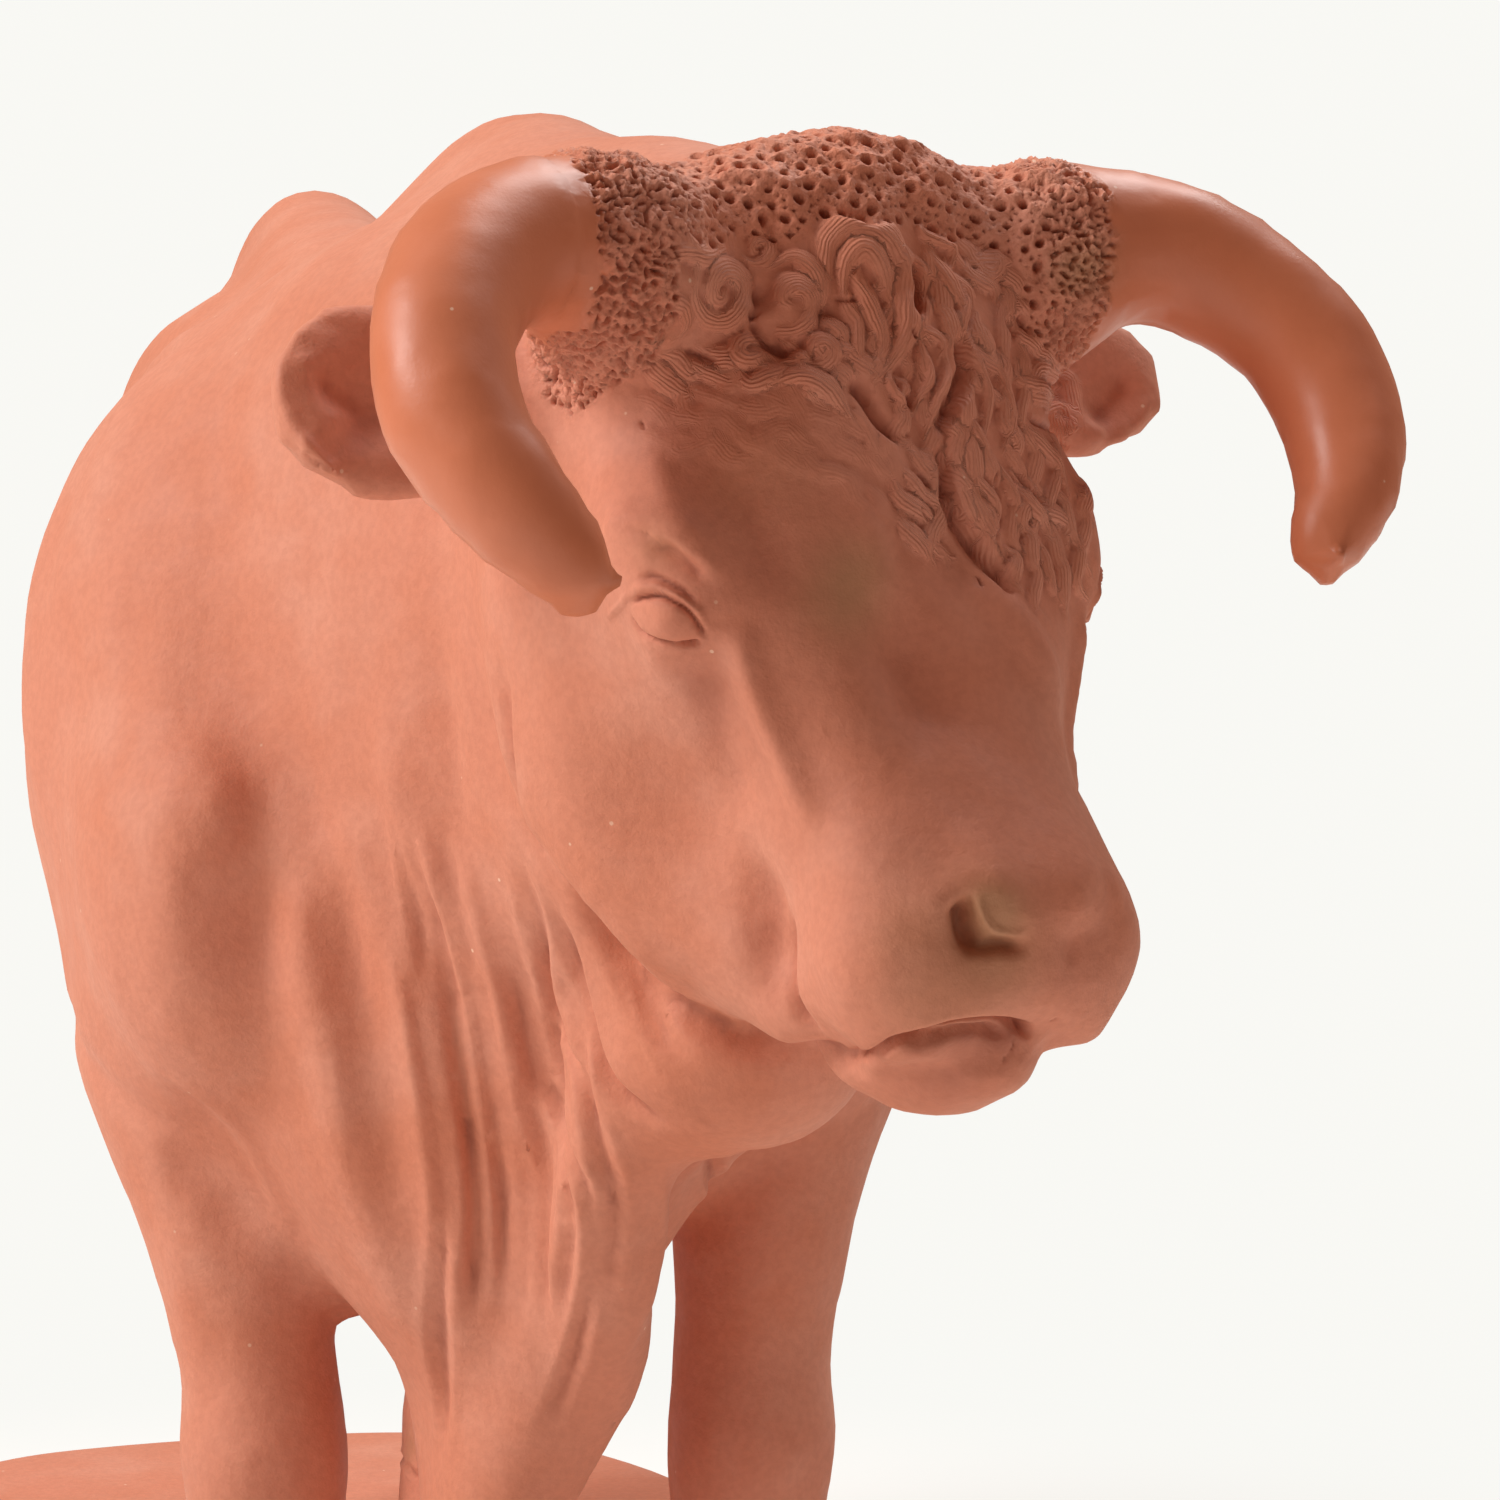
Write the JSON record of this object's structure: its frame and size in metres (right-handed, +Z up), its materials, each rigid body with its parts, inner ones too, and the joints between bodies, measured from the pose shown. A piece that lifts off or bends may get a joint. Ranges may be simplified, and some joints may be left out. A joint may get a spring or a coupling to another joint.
{
  "type": "bull sculpture",
  "caption": "Standing fired-clay bull figurine with a turned, lowered head and horns that curve down beside the face, joined to a low oval slab that it rests on.",
  "frame": {"origin": "middle of the slab's flat underside", "axes": "+Z up from the slab, -Y the way the bull faces, +X towards the bull's left, to which its head is turned"},
  "size_m": [0.1861, 0.4108, 0.2564],
  "materials": {
    "terracotta": "matte, unglazed fired clay"
  },
  "bodies": {
    "root": {"bull": "terracotta"}
  },
  "joints": []
}
